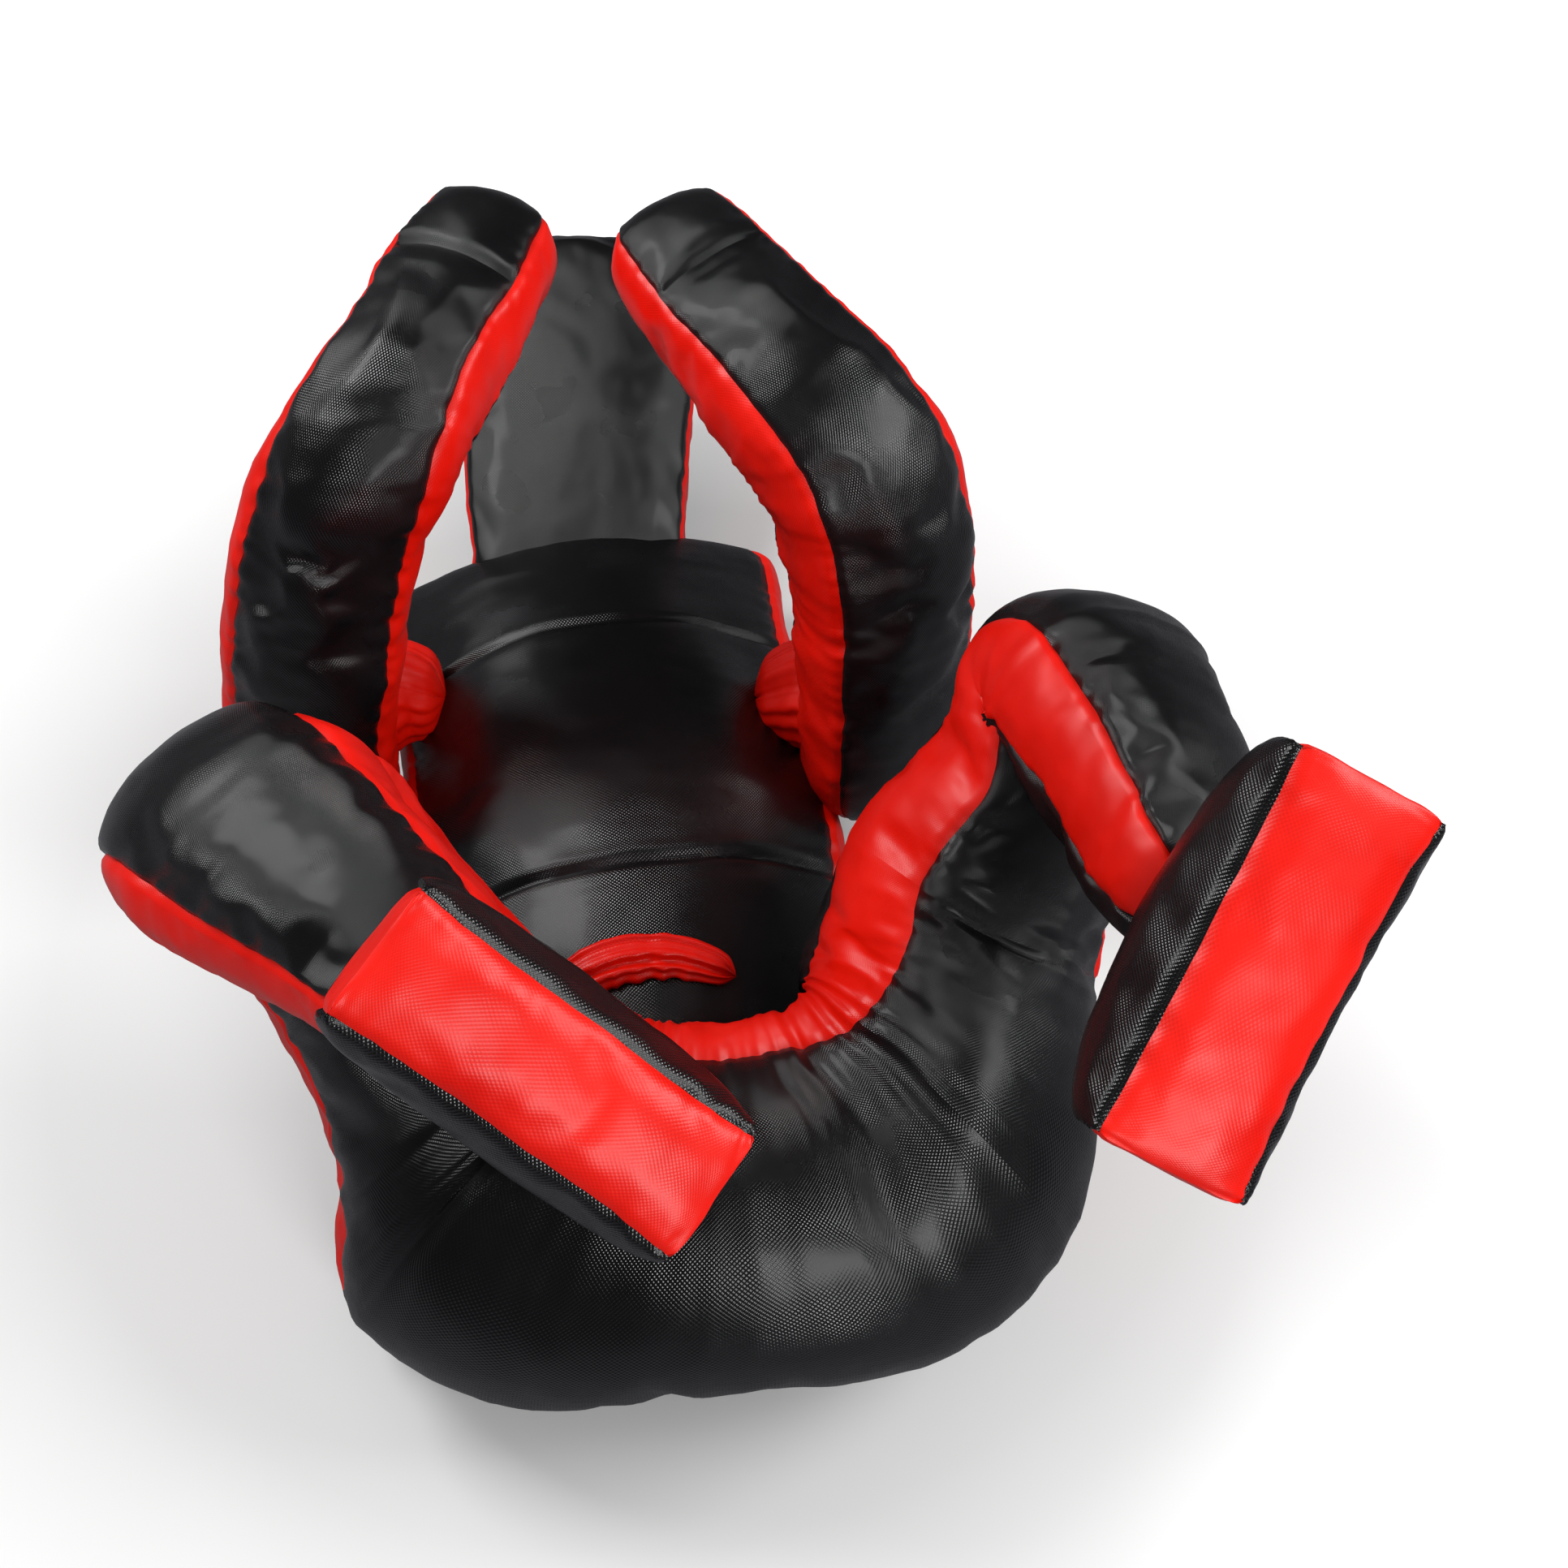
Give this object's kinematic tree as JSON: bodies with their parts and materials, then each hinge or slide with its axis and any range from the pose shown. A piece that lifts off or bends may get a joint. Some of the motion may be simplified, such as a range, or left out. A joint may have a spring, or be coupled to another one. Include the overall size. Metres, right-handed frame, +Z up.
{
  "type": "grappling dummy",
  "caption": "Stuffed vinyl grappling dummy lying on its back, knees drawn up and arms closed over the head, jointed at neck, shoulders, elbows, hips, knees and ankles.",
  "frame": {"origin": "on the floor under the middle of the back, on the flat underside of the back panel", "axes": "+Y from the seat towards the head, +Z up from the floor, +X to the viewer's right from the feet"},
  "size_m": [0.7488, 1.1592, 0.5948],
  "materials": {
    "black_vinyl": "satin black vinyl embossed like canvas",
    "red_vinyl": "satin red vinyl embossed like canvas",
    "stuffing": "packed textile stuffing, hidden under the vinyl"
  },
  "bodies": {
    "torso": {"torso_fill": "stuffing", "yoke_panel": "black_vinyl", "chest_panel": "black_vinyl", "abdomen_panel": "black_vinyl", "back_panel": "black_vinyl", "torso_side_left": "red_vinyl", "torso_side_right": "red_vinyl", "armpit_gusset_left": "red_vinyl", "armpit_gusset_right": "red_vinyl", "hip_gusset": "red_vinyl", "seat_fill": "stuffing", "seat_panel": "black_vinyl", "crotch_gusset": "red_vinyl"},
    "head": {"head_fill": "stuffing", "head_front": "black_vinyl", "head_back": "black_vinyl", "head_gusset": "red_vinyl"},
    "upper_arm_left": {"upper_arm_left_fill": "stuffing", "upper_arm_left_front": "black_vinyl", "upper_arm_left_back": "black_vinyl", "upper_arm_left_inner_strip": "red_vinyl", "upper_arm_left_outer_strip": "red_vinyl"},
    "forearm_left": {"forearm_left_fill": "stuffing", "forearm_left_front": "black_vinyl", "forearm_left_back": "black_vinyl", "forearm_left_inner_strip": "red_vinyl", "forearm_left_outer_strip": "red_vinyl", "hand_left": "black_vinyl"},
    "thigh_left": {"thigh_left_fill": "stuffing", "thigh_left_panel": "black_vinyl", "thigh_left_inner_strip": "red_vinyl"},
    "shin_left": {"shin_left_fill": "stuffing", "shin_left_front": "black_vinyl", "shin_left_back": "black_vinyl", "shin_left_inner_strip": "red_vinyl", "shin_left_outer_strip": "red_vinyl"},
    "foot_left": {"foot_upper_left": "black_vinyl", "sole_left": "red_vinyl"},
    "upper_arm_right": {"upper_arm_right_fill": "stuffing", "upper_arm_right_front": "black_vinyl", "upper_arm_right_back": "black_vinyl", "upper_arm_right_inner_strip": "red_vinyl", "upper_arm_right_outer_strip": "red_vinyl"},
    "forearm_right": {"forearm_right_fill": "stuffing", "forearm_right_front": "black_vinyl", "forearm_right_back": "black_vinyl", "forearm_right_inner_strip": "red_vinyl", "forearm_right_outer_strip": "red_vinyl", "hand_right": "black_vinyl"},
    "thigh_right": {"thigh_right_fill": "stuffing", "thigh_right_panel": "black_vinyl", "thigh_right_inner_strip": "red_vinyl"},
    "shin_right": {"shin_right_fill": "stuffing", "shin_right_front": "black_vinyl", "shin_right_back": "black_vinyl", "shin_right_inner_strip": "red_vinyl", "shin_right_outer_strip": "red_vinyl"},
    "foot_right": {"foot_upper_right": "black_vinyl", "sole_right": "red_vinyl"}
  },
  "joints": [
    {"name": "neck", "type": "hinge", "parent": "torso", "child": "head", "pos_m": [-0.0155, 0.3, 0.062], "axis": [1, 0, 0], "range_deg": [-12, 10]},
    {"name": "shoulder_left", "type": "hinge", "parent": "torso", "child": "upper_arm_left", "pos_m": [-0.24552, 0.13028, 0.12], "axis": [-0.955, 0.1737, 0.2405], "range_deg": [-20, 15]},
    {"name": "elbow_left", "type": "hinge", "parent": "upper_arm_left", "child": "forearm_left", "pos_m": [-0.16924, 0.17432, 0.39105], "axis": [-0.84, 0.521, 0.1517], "range_deg": [-25, 10]},
    {"name": "hip_left", "type": "hinge", "parent": "torso", "child": "thigh_left", "pos_m": [-0.1599, -0.28442, 0.1295], "axis": [-0.9994, 0.0349, 0], "range_deg": [-25, 4]},
    {"name": "knee_left", "type": "hinge", "parent": "thigh_left", "child": "shin_left", "pos_m": [-0.25801, -0.06814, 0.4027], "axis": [0.8319, 0.5398, -0.1286], "range_deg": [-25, 6]},
    {"name": "ankle_left", "type": "hinge", "parent": "shin_left", "child": "foot_left", "pos_m": [-0.12291, -0.27148, 0.42321], "axis": [0.7068, 0.6323, 0.3172], "range_deg": [-8, 8]},
    {"name": "shoulder_right", "type": "hinge", "parent": "torso", "child": "upper_arm_right", "pos_m": [0.21452, 0.06972, 0.12], "axis": [-0.9916, 0.1213, -0.0441], "range_deg": [-20, 15]},
    {"name": "elbow_right", "type": "hinge", "parent": "upper_arm_right", "child": "forearm_right", "pos_m": [0.20935, 0.12875, 0.39877], "axis": [-0.8512, -0.5164, 0.0936], "range_deg": [-25, 10]},
    {"name": "hip_right", "type": "hinge", "parent": "torso", "child": "thigh_right", "pos_m": [0.1599, -0.29558, 0.1295], "axis": [-0.9994, 0.0349, 0], "range_deg": [-25, 4]},
    {"name": "knee_right", "type": "hinge", "parent": "thigh_right", "child": "shin_right", "pos_m": [0.28218, -0.08379, 0.39639], "axis": [0.8802, 0.081, -0.4676], "range_deg": [-25, 6]},
    {"name": "ankle_right", "type": "hinge", "parent": "shin_right", "child": "foot_right", "pos_m": [0.32618, -0.32117, 0.4381], "axis": [0.8113, -0.4443, -0.3801], "range_deg": [-8, 8]}
  ]
}
